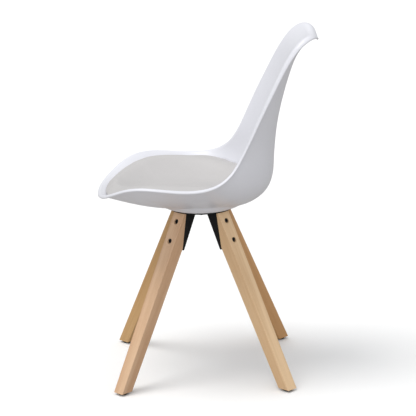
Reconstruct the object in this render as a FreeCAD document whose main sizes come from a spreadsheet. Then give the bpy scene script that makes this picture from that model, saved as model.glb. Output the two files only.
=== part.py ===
import FreeCAD, Part
import math
import os

import Sketcher
from FreeCAD import Placement, Rotation, Vector

# Dining chair: a moulded bucket seat with a padded cushion, bolted through a round steel plate to four
# splayed, tapered wooden legs. Millimetres. +Z is up, the sitter faces -Y, and +X is the sitter's left.
# The origin is on the floor, under the centre of the chair's overall box.

os.makedirs("parts", exist_ok=True)
doc = FreeCAD.newDocument("DiningChair")

# ------------------------------------------------------------------------------ driving dimensions
SIZES = {
    # mounting frame and stance
    "plate_level": 408.0,        # top of the mounting plate above the floor
    "plate_setback": -18.14,     # where the plate's centre lies along Y
    "plate_radius": 77.0,
    "plate_thickness": 4.0,
    "foot_circle_radius": 279.0,  # leg centre line at the floor, from the plate's axis
    "leg_top_radius": 54.14,     # leg centre line level with the plate's underside, from the same axis
    # legs
    "leg_foot_side": 29.0,       # square section at the foot
    "leg_top_side": 36.0,        # square section at the top
    "leg_edge_round": 1.6,
    "seat_cut_lean": 9.5,        # degrees from vertical of the flat that takes the bracket
    "seat_cut_radius": 68.5,     # that flat's distance from the axis, level with the plate's underside
    # brackets
    "bracket_width": 35.0,
    "bracket_sheet": 3.0,
    "bracket_height": 90.0,
    "bracket_reach": 33.0,       # inner end of the bracket's top edge, from the axis
    "bracket_nose": 5.0,         # depth left at the bracket's lower tip
    # leg bolts
    "leg_bolt_dia": 6.0,
    "leg_bolt_upper_drop": 22.6,  # bolt axis below the plate, measured on the seat cut
    "leg_bolt_pitch": 46.3,
    "leg_bolt_head_dia": 10.0,
    "leg_bolt_head_length": 6.0,
    "leg_bolt_socket": 5.0,      # across flats
    "leg_bolt_sink": 1.4,        # head below the leg's face
    "cut_past": 1.0,             # how far a cutting shape runs past the face that it opens
    "counterbore_clearance": 1.0,
    "bolt_clearance": 0.25,
    "washer_dia": 11.5,
    "washer_thickness": 1.2,
    "nut_flats": 10.0,
    "nut_height": 5.0,
    "thread_stickout": 1.5,
    # glides
    "glide_dia": 22.0,
    "glide_height": 5.5,
    "glide_crown": 1.5,
    "glide_nail_dia": 2.4,
    "glide_nail_length": 18.0,
    # screws between plate and seat
    "seat_screw_circle": 48.0,
    "seat_screw_dia": 6.0,
    "seat_screw_head_dia": 10.5,
    "seat_screw_head_height": 4.0,
    "seat_screw_socket": 4.0,
    "seat_screw_short": 0.5,     # screw's end below the insert's top
    "seat_washer_dia": 13.5,
    "seat_washer_thickness": 1.6,
    "spring_washer_thickness": 1.5,
    "spring_washer_dia": 10.6,
    "spring_washer_slit": 0.8,
    "insert_dia": 9.0,
    "insert_length": 7.5,
    "thread_gap": 0.05,
    # seat shell
    "wall": 4.5,
    "seat_floor": 9.0,           # thickness of the moulded hub over the plate
    "floor_radius": 48.0,        # flat middle of the seat's floor, inside
    "floor_fade": 45.0,          # over which that flat runs out into the bowl
    "hub_skirt": 9.0,            # over which the hub underneath runs out into the bowl
    "lip_turn": 100.0,           # degrees that the rolled rim turns over
    "front_squareness": 2.4,
    "front_round_span": 4.8,     # stations
    "top_squareness": 5.0,
    "top_round_span": 1.7,       # stations
    "wall_fullness": 2.2,
    # cushion
    "cushion_height": 27.0,
    "cushion_edge_radius": 24.0,
    "cushion_front": 0.18,       # stations behind the front lip
    "cushion_rear": 11.2,        # station where it meets the back
    "cushion_share": 0.945,      # of the shell's half width
    "cushion_squareness": 2.3,
    "cushion_front_round": 0.9,  # of its half length
    "cushion_rear_round": 0.9,
    "cushion_rear_taper": 2.4,   # how much wider its rounded edge is at the rear
    "soft_gap": 0.3,
    "cover_thickness": 1.1,
    "cover_hem": 22.0,
    "foam_edge": 0.5,            # least foam over the board
    "board_thickness": 4.0,
    "board_inset": 5.0,
    "layer_gap": 0.4,
    "cushion_screw_circle": 38.0,
    "cushion_screw_dia": 5.0,
    "cushion_screw_head_dia": 9.6,
    "cushion_screw_socket": 3.0,  # across flats
    "cushion_screw_socket_depth": 2.25,
    "cushion_screw_short": 0.3,  # screw's end below the board's top
    "tnut_flange_dia": 16.0,
    "tnut_flange_thickness": 1.2,
    "tnut_barrel_dia": 7.0,
}

# The shell's outer face hangs on two rails that run from the front lip to the top of the back: the keel on
# the middle plane, and the wall's edge, where the rim starts to roll over. Each station gives, in mm,
# keel (y, z), wall edge (x, y, z) and the roll's radius. y is from the plate's axis, z from the plate's top.
STATIONS = {
    "lip": (-240.5, 40.5, 202, -239, 104, 2),
    "nose": (-202, 27.3, 203.5, -201, 114, 2),
    "front": (-162, 15.8, 205.5, -162, 108, 2),
    "thigh": (-122, 8, 205.5, -122, 95, 2.2),
    "pan_front": (-81.5, 3.4, 205, -82, 85.5, 2.4),
    "pan_middle": (-41, 1.5, 205, -43, 81.5, 2.8),
    "pan": (-0.5, 1, 203, -5, 81.5, 3),
    "pan_rear": (40, 0.8, 196.5, 24, 85.5, 2.6),
    "rump": (80, 1.2, 187.5, 46.5, 93, 2.4),
    "heel": (117, 8.8, 176.5, 64, 103.5, 2.4),
    "turn_low": (150, 28.5, 165, 79, 117, 2.8),
    "turn": (169, 54, 156, 91, 134.5, 3.3),
    "turn_high": (177, 88, 150.5, 102, 153, 4),
    "loin": (178, 122.5, 148, 111.5, 172.5, 4.7),
    "lumbar_low": (181, 160.5, 147, 122.5, 196.5, 5.2),
    "lumbar": (186.5, 207, 144.5, 139, 234.5, 5.6),
    "mid_back": (197.5, 257, 139.5, 159, 276.5, 6),
    "shoulder_low": (210.5, 303, 133.5, 179.5, 318, 6),
    "shoulder": (222.5, 340, 125, 200, 359, 7),
    "neck": (236, 373.5, 114, 225, 398.5, 8),
    "crest": (264, 403.5, 102, 260, 430, 11),
}

RAIL_COLUMNS = ("keel_y", "keel_z", "edge_x", "edge_y", "edge_z", "roll")
CORNERS = {"front_left": -45.0, "rear_left": 45.0, "rear_right": 135.0, "front_right": 225.0}

sheet = doc.addObject("Spreadsheet::Sheet", "Sizes")


def fill_sheet():
    """Writes every size and every station into the sheet, one aliased row each."""
    rows = dict(SIZES)
    for station, values in STATIONS.items():
        for column, value in zip(RAIL_COLUMNS, values):
            rows[station + "_" + column] = value
    for row, (alias, value) in enumerate(rows.items(), start=1):
        sheet.set("A%d" % row, alias)
        sheet.set("B%d" % row, str(value))
        sheet.setAlias("B%d" % row, alias)
    doc.recompute()


def size(alias):
    """Reads one size back from the sheet."""
    return float(sheet.get(alias))


fill_sheet()

# ------------------------------------------------------------------------------ document helpers


def made(kind, name, **sizes):
    """Adds a document object and binds each given property to an expression on the sheet."""
    item = doc.addObject(kind, name)
    for prop, expression in sizes.items():
        item.setExpression(prop, expression)
    return item


def cylinder(name, radius, height):
    return made("Part::Cylinder", name, Radius=radius, Height=height)


def hexagon(name, flats, height):
    item = made("Part::Prism", name, Circumradius=flats + " / sqrt(3)", Height=height)
    item.Polygon = 6
    return item


def cut(name, base, tool):
    item = doc.addObject("Part::Cut", name)
    item.Base, item.Tool = base, tool
    return item


def fuse(name, pieces):
    item = doc.addObject("Part::MultiFuse", name)
    item.Shapes = pieces
    return item


def group(label, pieces):
    """One sub-part made of several separate, identical solids."""
    item = doc.addObject("Part::Compound", label)
    item.Links = pieces
    return item


def upward(x, y, z):
    return Placement(Vector(x, y, z), Rotation())


def origin_plane(body, role):
    return next(f for f in body.Origin.OriginFeatures if f.Role == role)


def value(expression):
    result = sheet.evalExpression(expression)
    return float(getattr(result, "Value", result))


def new_sketch(body, name, role):
    sketch = body.newObject("Sketcher::SketchObject", name)
    sketch.AttachmentSupport = (origin_plane(body, role), [""])
    sketch.MapMode = "FlatFace"
    return sketch


def outline(sketch, corners):
    """Closes a polygon through corners given as pairs of expressions, one pair of dimensions each."""
    points = [Vector(value(x), value(y), 0) for x, y in corners]
    for start, end in zip(points, points[1:] + points[:1]):
        sketch.addGeometry(Part.LineSegment(start, end), False)
    for i in range(len(points)):
        sketch.addConstraint(Sketcher.Constraint("Coincident", i, 2, (i + 1) % len(points), 1))
    for i, (x, y) in enumerate(corners):
        for kind, expression in (("DistanceX", x), ("DistanceY", y)):
            index = sketch.addConstraint(Sketcher.Constraint(kind, i, 1, value(expression)))
            sketch.setExpression("Constraints[%d]" % index, expression)


def circle(sketch, x, y, radius):
    """Draws a circle whose centre and radius are expressions."""
    ring = Part.Circle(Vector(value(x), value(y), 0), Vector(0, 0, 1), value(radius))
    geo = sketch.addGeometry(ring, False)
    dimensions = (("DistanceX", (geo, 3), x), ("DistanceY", (geo, 3), y), ("Radius", (geo,), radius))
    for kind, where, expression in dimensions:
        index = sketch.addConstraint(Sketcher.Constraint(kind, *where, value(expression)))
        sketch.setExpression("Constraints[%d]" % index, expression)


def feature(body, kind, name, profile, **sizes):
    item = body.newObject("PartDesign::" + kind, name)
    item.Profile = profile
    for prop, expression in sizes.items():
        item.setExpression(prop, expression)
    return item


def edges_where(shape, test):
    return ["Edge%d" % i for i, edge in enumerate(shape.Edges, start=1) if test(edge)]


# ------------------------------------------------------------------------------ leg layout
# Each leg, its bracket and its bolts are drawn in the leg's own radial plane: x is the distance from the
# plate's axis and z the height above the floor. Turning that plane to the four corners places them.
LEG_TOP = "(Sizes.plate_level - Sizes.plate_thickness)"
LEAN = "Sizes.seat_cut_lean"
SPLAY = f"((Sizes.foot_circle_radius - Sizes.leg_top_radius) / {LEG_TOP})"
ALONG_SPLAY = f"sqrt(1 + {SPLAY} ^ 2)"
BEYOND = "(2 * Sizes.plate_radius)"
PAST = "Sizes.cut_past"


def side_at(z):
    return f"(Sizes.leg_foot_side + (Sizes.leg_top_side - Sizes.leg_foot_side) * {z} / {LEG_TOP})"


def face_at(z, sign):
    """Distance from the axis of the leg's outer (+) or inner (-) face at height z."""
    return f"(Sizes.foot_circle_radius - {z} * {SPLAY} {sign} {side_at(z)} / 2 * {ALONG_SPLAY})"


def on_seat_cut(along, inward="0"):
    """A point of the flat between leg and bracket: so far down it, and so far in from it, as (x, z)."""
    x = f"(Sizes.seat_cut_radius + {along} * sin({LEAN}) - {inward} * cos({LEAN}))"
    z = f"({LEG_TOP} - {along} * cos({LEAN}) - {inward} * sin({LEAN}))"
    return x, z


BOLT_DROPS = {
    "upper": "Sizes.leg_bolt_upper_drop",
    "lower": "(Sizes.leg_bolt_upper_drop + Sizes.leg_bolt_pitch)",
}


def wood_along_bolt(drop):
    """Length of a bolt's axis inside the leg, from the seat cut to the leg's outer face."""
    x, z = on_seat_cut(drop)
    slope = f"({SPLAY} - (Sizes.leg_top_side - Sizes.leg_foot_side) / {LEG_TOP} / 2 * {ALONG_SPLAY})"
    return f"(({face_at('0', '+')} - {slope} * {z} - {x}) / (cos({LEAN}) + {slope} * sin({LEAN})))"


def washer_seat(drop):
    """Where the counterbore ends, measured out from the seat cut."""
    head = "(Sizes.leg_bolt_sink + Sizes.leg_bolt_head_length + Sizes.washer_thickness)"
    return f"({wood_along_bolt(drop)} - {head})"


def corner_placement(angle):
    return Placement(Vector(0, size("plate_setback"), 0), Rotation(Vector(0, 0, 1), angle))


def bolt_placement(angle, drop, out):
    """Local +Z runs outwards along the bolt's axis, from the point so far out from the seat cut."""
    x, z = (value(e) for e in on_seat_cut(drop))
    lean = size("seat_cut_lean")
    along = Vector(math.cos(math.radians(lean)), 0, math.sin(math.radians(lean)))
    start = Vector(x, 0, z) + along * value(out)
    return corner_placement(angle) * Placement(start, Rotation(Vector(0, 1, 0), 90 - lean))


def bolt_groove(body, name, drop, steps):
    """Turns a stepped bore about a bolt's axis; steps are (start, end, radius) along it."""
    sketch = new_sketch(body, name + "_profile", "XZ_Plane")
    x, z = on_seat_cut(drop)
    sketch.setExpression("AttachmentOffset.Base.x", x)
    sketch.setExpression("AttachmentOffset.Base.y", z)
    sketch.setExpression("AttachmentOffset.Rotation.Angle", LEAN)
    sketch.AttachmentOffset = Placement(Vector(), Rotation(Vector(0, 0, 1), size("seat_cut_lean")))
    corners = [(steps[0][0], "0")]
    for start, end, radius in steps:
        corners += [(start, radius), (end, radius)]
    corners.append((steps[-1][1], "0"))
    outline(sketch, corners)
    groove = feature(body, "Groove", name, sketch)
    groove.ReferenceAxis = (sketch, ["H_Axis"])
    groove.Angle = 360
    return groove


BOLT_BORE = "(Sizes.leg_bolt_dia / 2 + Sizes.bolt_clearance)"
COUNTERBORE = "(Sizes.washer_dia / 2 + Sizes.counterbore_clearance / 2)"


def make_leg(corner, angle):
    """A square, tapered wooden leg with a flat for its bracket, two counterbored holes and a pilot hole."""
    body = doc.addObject("PartDesign::Body", "leg_" + corner)
    foot = "Sizes.glide_height"
    profile = new_sketch(body, "leg_side_" + corner, "XZ_Plane")
    ends = ((foot, "+"), (LEG_TOP, "+"), (LEG_TOP, "-"), (foot, "-"))
    outline(profile, [(face_at(z, sign), z) for z, sign in ends])
    blank = feature(body, "Pad", "leg_blank_" + corner, profile, Length=f"Sizes.leg_top_side + 2 * {PAST}")
    blank.Midplane = True
    for hand, sign in (("left", "+"), ("right", "-")):
        taper = new_sketch(body, "taper_%s_%s" % (hand, corner), "YZ_Plane")
        low, high = f"({foot} - {PAST})", f"({LEG_TOP} + {PAST})"
        beyond = f"{sign}(Sizes.leg_top_side)"
        edges = [(f"{sign}({side_at(z)} / 2)", z) for z in (low, high)]
        outline(taper, edges + [(beyond, high), (beyond, low)])
        side = feature(body, "Pocket", "taper_cut_%s_%s" % (hand, corner), taper)
        side.Type, side.Midplane = "ThroughAll", True
    seat = new_sketch(body, "seat_cut_" + corner, "XZ_Plane")
    over, under = "(-Sizes.leg_top_side)", "(Sizes.bracket_height * 2)"
    outline(seat, [on_seat_cut(over), on_seat_cut(under), on_seat_cut(under, BEYOND),
                   on_seat_cut(over, BEYOND)])
    flat = feature(body, "Pocket", "seat_flat_" + corner, seat)
    flat.Type, flat.Midplane = "ThroughAll", True
    doc.recompute()
    rounding = body.newObject("PartDesign::Fillet", "eased_edges_" + corner)
    long_edge = 0.6 * size("plate_level")
    rounding.Base = (flat, edges_where(flat.Shape, lambda e: e.Length > long_edge))
    rounding.setExpression("Radius", "Sizes.leg_edge_round")
    for name, drop in BOLT_DROPS.items():
        seat_depth = washer_seat(drop)
        clear = f"({wood_along_bolt(drop)} + Sizes.washer_dia)"
        steps = [(f"(-{PAST})", seat_depth, BOLT_BORE), (seat_depth, clear, COUNTERBORE)]
        bolt_groove(body, "%s_bolt_hole_%s" % (name, corner), drop, steps)
    pilot = new_sketch(body, "nail_hole_" + corner, "XY_Plane")
    pilot.setExpression("AttachmentOffset.Base.z", foot)
    circle(pilot, f"({face_at(foot, '+')} + {face_at(foot, '-')}) / 2", "0", "Sizes.glide_nail_dia / 2")
    nail = feature(body, "Pocket", "nail_pilot_" + corner, pilot, Length="Sizes.glide_nail_length")
    nail.Reversed = True
    body.Placement = corner_placement(angle)
    return body


def make_bracket(corner, angle):
    """A pressed steel channel: a web against the leg, and a triangular flange on each side of it."""
    body = doc.addObject("PartDesign::Body", "bracket_" + corner)
    profile = new_sketch(body, "bracket_side_" + corner, "XZ_Plane")
    tip = on_seat_cut("Sizes.bracket_height")
    nose = on_seat_cut("Sizes.bracket_height", "Sizes.bracket_nose")
    outline(profile, [on_seat_cut("0"), tip, nose, ("Sizes.bracket_reach", LEG_TOP)])
    block = feature(body, "Pad", "bracket_block_" + corner, profile, Length="Sizes.bracket_width")
    block.Midplane = True
    doc.recompute()
    rounding = body.newObject("PartDesign::Fillet", "bracket_nose_" + corner)
    low = value(nose[1]) + size("bracket_nose") / 2

    def at_tip(edge):
        return edge.BoundBox.YLength > size("bracket_width") / 2 and edge.BoundBox.ZMax < low

    rounding.Base = (block, edges_where(block.Shape, at_tip))
    rounding.setExpression("Radius", "Sizes.bracket_nose * 0.45")
    hollow = new_sketch(body, "bracket_hollow_" + corner, "XZ_Plane")
    web, over = "Sizes.bracket_sheet", "(-Sizes.leg_top_side)"
    outline(hollow, [on_seat_cut(over, web), on_seat_cut(BEYOND, web), on_seat_cut(BEYOND, BEYOND),
                     on_seat_cut(over, BEYOND)])
    channel = feature(body, "Pocket", "bracket_channel_" + corner, hollow,
                      Length="Sizes.bracket_width - 2 * Sizes.bracket_sheet")
    channel.Midplane = True
    for name, drop in BOLT_DROPS.items():
        steps = [(f"(-Sizes.bracket_sheet - {PAST})", PAST, BOLT_BORE)]
        bolt_groove(body, "%s_web_hole_%s" % (name, corner), drop, steps)
    body.Placement = corner_placement(angle)
    return body


def socket_screw(name, dia, length, head_dia, head_length, socket):
    """A cap screw whose head stands on z = 0 and whose shank points down."""
    head = cylinder(name + "_head", head_dia + " / 2", head_length)
    shank = made("Part::Cylinder", name + "_shank", Radius=dia + " / 2", Height=length)
    shank.Placement = Placement(Vector(), Rotation(Vector(1, 0, 0), 180))
    key = hexagon(name + "_key", socket, head_length + " / 2")
    key.setExpression("Placement.Base.z", head_length + " / 2")
    return cut(name, fuse(name + "_blank", [head, shank]), key)


def washer(name, outer, inner, thickness):
    return cut(name, cylinder(name + "_disc", outer, thickness), cylinder(name + "_eye", inner, thickness))


def make_leg_fasteners(corner, angle):
    """Two bolts, two washers and two nuts for one leg, each kind as one group."""
    bolts, washers, nuts = [], [], []
    behind = "(Sizes.bracket_sheet + Sizes.nut_height + Sizes.thread_stickout)"
    for name, drop in BOLT_DROPS.items():
        tag = "%s_%s" % (name, corner)
        under_head = f"({washer_seat(drop)} + Sizes.washer_thickness)"
        bolt = socket_screw("bolt_" + tag, "Sizes.leg_bolt_dia", f"({under_head} + {behind})",
                            "Sizes.leg_bolt_head_dia", "Sizes.leg_bolt_head_length", "Sizes.leg_bolt_socket")
        bolt.Placement = bolt_placement(angle, drop, under_head)
        bolts.append(bolt)
        ring = washer("washer_" + tag, "Sizes.washer_dia / 2", BOLT_BORE, "Sizes.washer_thickness")
        ring.Placement = bolt_placement(angle, drop, washer_seat(drop))
        washers.append(ring)
        nut_bore = "(Sizes.leg_bolt_dia / 2 + Sizes.thread_gap)"
        nut = cut("nut_" + tag, hexagon("nut_blank_" + tag, "Sizes.nut_flats", "Sizes.nut_height"),
                  cylinder("nut_bore_" + tag, nut_bore, "Sizes.nut_height"))
        nut.Placement = bolt_placement(angle, drop, "(-Sizes.bracket_sheet - Sizes.nut_height)")
        nuts.append(nut)
    return [group("leg_bolts_" + corner, bolts), group("leg_washers_" + corner, washers),
            group("leg_nuts_" + corner, nuts)]


def make_glide(corner, angle):
    """A crowned plastic glide, turned about its nail."""
    body = doc.addObject("PartDesign::Body", "glide_" + corner)
    sketch = new_sketch(body, "glide_section_" + corner, "XZ_Plane")
    nail, rim, top = "Sizes.glide_nail_dia / 2", "Sizes.glide_dia / 2", "Sizes.glide_height"
    floor = "Sizes.glide_crown"
    outline(sketch, [("0", "0"), (rim + " - Sizes.glide_crown", "0"), (rim, floor), (rim, top), (nail, top),
                     (nail, floor), ("0", floor)])
    turned = feature(body, "Revolution", "glide_turned_" + corner, sketch)
    turned.ReferenceAxis = (sketch, ["V_Axis"])
    turned.Angle = 360
    body.Placement = corner_placement(angle) * upward(foot_centre(), 0, 0)
    return body


def foot_centre():
    foot = "Sizes.glide_height"
    return value(f"({face_at(foot, '+')} + {face_at(foot, '-')}) / 2")


def make_glide_nails():
    """The steel nails moulded into the glides."""
    nails = []
    for corner, angle in CORNERS.items():
        length = "Sizes.glide_height - Sizes.glide_crown + Sizes.glide_nail_length"
        nail = cylinder("nail_" + corner, "Sizes.glide_nail_dia / 2", length)
        nail.Placement = corner_placement(angle) * upward(foot_centre(), 0, size("glide_crown"))
        nails.append(nail)
    return group("glide_nails", nails)


def make_plate():
    """The round steel plate that the four brackets are welded under."""
    body = doc.addObject("PartDesign::Body", "mounting_plate")
    disc = new_sketch(body, "plate_outline", "XY_Plane")
    circle(disc, "0", "0", "Sizes.plate_radius")
    feature(body, "Pad", "plate_disc", disc, Length="Sizes.plate_thickness")
    hole = new_sketch(body, "plate_hole", "XY_Plane")
    circle(hole, "Sizes.seat_screw_circle", "0", "Sizes.seat_screw_dia / 2 + Sizes.bolt_clearance")
    drilled = feature(body, "Pocket", "plate_drilled", hole)
    drilled.Type, drilled.Midplane = "ThroughAll", True
    doc.recompute()
    pattern = body.newObject("PartDesign::PolarPattern", "plate_holes")
    pattern.Originals = [drilled]
    pattern.Axis = (origin_plane(body, "Z_Axis"), [""])
    pattern.Angle = 360
    pattern.Occurrences = 4
    body.Tip = pattern
    body.Placement = upward(0, size("plate_setback"), value(LEG_TOP))
    return body


# ------------------------------------------------------------------------------ shell surface


def rail_table():
    return [[size(station + "_" + column) for column in RAIL_COLUMNS] for station in STATIONS]


RAILS = rail_table()
LAST = len(RAILS) - 1
WALL_FULLNESS = size("wall_fullness")


def rails(s):
    """The six rail values at station s, on a uniform cubic B-spline that starts and ends on its ends."""
    s = min(max(s, 0.0), float(LAST))
    i = min(int(s), LAST - 1)
    f = s - i
    weights = ((1 - f) ** 3, 3 * f ** 3 - 6 * f * f + 4, -3 * f ** 3 + 3 * f * f + 3 * f + 1, f ** 3)

    def control(k, column):
        if k < 0:
            return 2 * RAILS[0][column] - RAILS[1][column]
        if k > LAST:
            return 2 * RAILS[LAST][column] - RAILS[LAST - 1][column]
        return RAILS[k][column]

    return [sum(w * control(i - 1 + k, c) for k, w in enumerate(weights)) / 6 for c in range(6)]


def mould(s, x):
    """The shell's outer face at station s and so far across from the middle."""
    keel_y, keel_z, edge_x, edge_y, edge_z, _ = rails(s)
    climb = (abs(x) / edge_x) ** WALL_FULLNESS
    return Vector(x, keel_y + (edge_y - keel_y) * climb, keel_z + (edge_z - keel_z) * climb)


def inward(s, x):
    """Unit normal of the outer face, pointing to the sitter."""
    across = mould(s, x + 0.05) - mould(s, x - 0.05)
    along = mould(min(s + 0.01, LAST), x) - mould(max(s - 0.01, 0), x)
    return across.cross(along).normalize()


def end_rounding(distance, span, squareness):
    q = min(max(distance / span, 0.0), 1.0)
    return (1 - (1 - q) ** squareness) ** (1 / squareness)


def half_width(s):
    front = end_rounding(s, size("front_round_span"), size("front_squareness"))
    top = end_rounding(LAST - s, size("top_round_span"), size("top_squareness"))
    return rails(s)[2] * front * top


def station_at(x, y):
    """The station where the outer face passes over the point (x, y), low down on the seat."""
    low, high = 1.0, 10.0
    while high - low > 1e-7:
        middle = (low + high) / 2
        low, high = (middle, high) if mould(middle, x).y < y else (low, middle)
    return low


HUB = station_at(0, 0)
SPOKES = 96
FLOOR_RINGS = 5
WALL_RINGS = 80
LIP_RINGS = 8
FLAT_MARGIN = 2.5


def smooth(t):
    t = min(max(t, 0.0), 1.0)
    return t * t * (3 - 2 * t)


def face(s, x, offset):
    """A point so far inside the outer face, levelled near the plate's axis to the flat floor or hub."""
    point = mould(s, x) + inward(s, x) * offset
    level, flat, fade = size("seat_floor") + offset - size("wall"), size("floor_radius"), size("floor_fade")
    if offset <= 0:
        level, flat, fade = 0.0, size("plate_radius"), size("hub_skirt")
    away = math.hypot(point.x, point.y) - flat - FLAT_MARGIN
    point.z += (level - point.z) * (1 - smooth(away / fade))
    return point


def spokes(front, rear, width):
    """Spokes from the hub circle to an outline, as pairs of (station, x)."""
    pairs = []
    for j in range(SPOKES):
        turn = 2 * math.pi * j / SPOKES
        s = front + (rear - front) * (1 - math.cos(turn)) / 2
        x = width(s) * (1 if j <= SPOKES // 2 else -1)
        end = mould(s, x)
        reach = size("plate_radius") / math.hypot(end.x, end.y)
        hub = (station_at(end.x * reach, end.y * reach), end.x * reach)
        pairs.append((hub, (s, x)))
    return pairs


def floor_rows(pairs, offset):
    """Rings on the seat's floor, from its flat middle out to just inside the hub circle."""
    rows = []
    flat, rim = size("floor_radius"), size("plate_radius")
    for i in range(FLOOR_RINGS):
        share = (flat + (rim - flat) * i / FLOOR_RINGS) / rim
        ends = [mould(*hub) * share for hub, _ in pairs]
        rows.append([face(station_at(p.x, p.y), p.x, offset) for p in ends])
    return rows


def along_spoke(pair, v):
    (s0, x0), (s1, x1) = pair
    return s0 + (s1 - s0) * v, x0 + (x1 - x0) * v


def drawn_through(row):
    """Moves a closed ring of points out to the poles of a cubic spline that passes through them."""
    sixth = 1 / 6
    return [p + (p * 2 - row[j - 1] - row[(j + 1) % len(row)]) * sixth for j, p in enumerate(row)]


def ring_solid(rows):
    """A solid whose skin follows rings of points; its first and last rings are flat and are closed flat."""
    to_part = Vector(0, size("plate_setback"), size("plate_level"))
    rows = [drawn_through(row) for row in rows]
    poles = [[row[j] + to_part for row in rows] for j in range(SPOKES)]
    count = len(rows)
    skin = Part.BSplineSurface()
    skin.buildFromPolesMultsKnots(
        poles, [1] * (SPOKES + 1), [4] + [1] * (count - 4) + [4],
        [float(i) for i in range(SPOKES + 1)], [float(i) for i in range(count - 2)], True, False, 3, 3)
    ends = [skin.vIso(v).toShape() for v in (0.0, float(count - 3))]
    faces = [skin.toShape()] + [Part.Face(Part.Wire([end])) for end in ends]
    shell = Part.makeShell(faces)
    shell.sewShape()
    solid = Part.makeSolid(shell)
    if solid.Volume < 0:
        solid.reverse()
    return solid


def shape_object(name, shape):
    item = doc.addObject("Part::Feature", name)
    item.Shape = shape
    return item


def make_shell():
    """The moulded seat: wall, rim rolled outwards, hub with holes for the inserts and cushion screws."""
    wall = size("wall")
    pairs = spokes(0.0, float(LAST), half_width)
    steps = [i / WALL_RINGS for i in range(WALL_RINGS + 1)]
    inner = [[face(*along_spoke(p, v), wall) for p in pairs] for v in steps]
    outer = [[face(*along_spoke(p, v), 0.0) for p in pairs] for v in steps]
    edge = outer[-1]
    roll_inner, roll_outer, frames = [], [], []
    for j, (_, (s, x)) in enumerate(pairs):
        normal = inward(s, x)
        rim = edge[(j + 1) % SPOKES] - edge[j - 1]
        out = rim.cross(normal).normalize()
        if out.dot(edge[j] - outer[-2][j]) < 0:
            out = out * -1
        frames.append((edge[j], normal, out, rails(s)[5]))
    turns = [math.radians(size("lip_turn")) * i / LIP_RINGS for i in range(1, LIP_RINGS + 1)]
    for turn in turns:
        for rows, thick in ((roll_inner, wall), (roll_outer, 0.0)):
            rows.append([p + n * thick + (o * math.sin(turn) - n * (1 - math.cos(turn))) * (r + thick)
                         for p, n, o, r in frames])
    middle = [(a + b) * 0.5 for a, b in zip(roll_inner[-1], roll_outer[-1])]
    floor = floor_rows(pairs, wall)
    return ring_solid(floor + inner + roll_inner + [middle] + roll_outer[::-1] + outer[::-1])


def cushion_width(s):
    front, rear, squareness = size("cushion_front"), size("cushion_rear"), size("cushion_squareness")
    span = (rear - front) / 2
    near = end_rounding(s - front, span * size("cushion_front_round"), squareness)
    far = end_rounding(rear - s, span * size("cushion_rear_round"), squareness)
    return rails(s)[2] * size("cushion_share") * near * far


def cushion_rows(inset, offset_at, steps):
    """Rings inside the cushion's outline. offset_at gives the offset for a distance in from the outline."""
    pairs = spokes(size("cushion_front"), size("cushion_rear"), cushion_width)
    rows = floor_rows(pairs, offset_at(size("floor_radius"), 0)) if len(steps) > 1 else []
    ends = []
    for hub, rim in pairs:
        length = (mould(*rim) - mould(*hub)).Length
        rear = smooth((rim[0] - HUB) / (size("cushion_rear") - HUB))
        ends.append((hub, rim, length, rear))
    for v in steps:
        row = []
        for hub, rim, length, rear in ends:
            reach = 1 - inset / length
            q = v * reach
            row.append(face(*along_spoke((hub, rim), q), offset_at((1 - q) * length, rear)))
        rows.append(row)
    return rows


UNDERSIDE = size("wall") + size("soft_gap")
ABOVE_HEM = UNDERSIDE + size("cover_thickness") + size("layer_gap")
BOARD_TOP = ABOVE_HEM + size("board_thickness")


def crown(distance, rear):
    """Height of the cushion's top over its underside, so far in from its outline."""
    radius = size("cushion_edge_radius") * (1 + size("cushion_rear_taper") * rear)
    t = min(max(distance / radius, 0.0), 1.0)
    return size("cushion_height") * math.sqrt(1 - (1 - t) ** 2)


def cover_top(distance, rear):
    return UNDERSIDE + size("cover_thickness") + crown(distance, rear)


# Shares of the way from the hub circle to the cushion's outline, closer together where the crown falls away.
CROWN_SHARES = [i / 24 for i in range(23)] + [0.94, 0.965, 0.985, 1.0]
# Shares of the hem's width, out along its underside and back over its top.
HEM_UNDER = (0.05, 0.23, 0.55, 1.0)
HEM_OVER = (1.0, 0.64, 0.36, 0.18, 0.09)


def make_cover():
    """Artificial leather over the top and edge of the pad, with a hem turned under it."""
    skin, hem = size("cover_thickness"), size("cover_hem")
    top = cushion_rows(0, cover_top, CROWN_SHARES)
    under = [cushion_rows(hem * share, lambda *_: UNDERSIDE, [1.0])[0] for share in HEM_UNDER]
    over_hem = [cushion_rows(hem * share, lambda *_: UNDERSIDE + skin, [1.0])[0] for share in HEM_OVER]
    inside = cushion_rows(skin, lambda d, rear: cover_top(d, rear) - skin, CROWN_SHARES)
    return ring_solid(top + under + over_hem + inside[::-1])


def make_foam():
    """The foam block between the board and the cover."""
    gap = size("cover_thickness") + size("layer_gap")
    inset = size("board_inset")
    least = BOARD_TOP + size("foam_edge")
    top = cushion_rows(inset, lambda d, rear: max(cover_top(d, rear) - gap, least), CROWN_SHARES)
    bottom = cushion_rows(inset, lambda *_: BOARD_TOP + size("layer_gap"), CROWN_SHARES)
    return ring_solid(top + bottom[::-1])


def make_board():
    """The moulded board under the foam."""
    inset = size("board_inset")
    top = cushion_rows(inset, lambda *_: BOARD_TOP, CROWN_SHARES)
    bottom = cushion_rows(inset, lambda *_: ABOVE_HEM, CROWN_SHARES)
    return ring_solid(top + bottom[::-1])


# ------------------------------------------------------------------------------ seat fasteners
PLATE_TOP = size("plate_level")
FLOOR_TOP = PLATE_TOP + size("seat_floor")


def around(circle_size, first, z):
    """Four upright placements on a circle about the plate's axis."""
    radius = size(circle_size)
    places = []
    for k in range(4):
        angle = math.radians(first + 90 * k)
        places.append(upward(radius * math.cos(angle), size("plate_setback") + radius * math.sin(angle), z))
    return places


def seat_screw_places(z):
    return around("seat_screw_circle", 0, z)


def cushion_screw_places(z):
    return around("cushion_screw_circle", 45, z)


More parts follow.
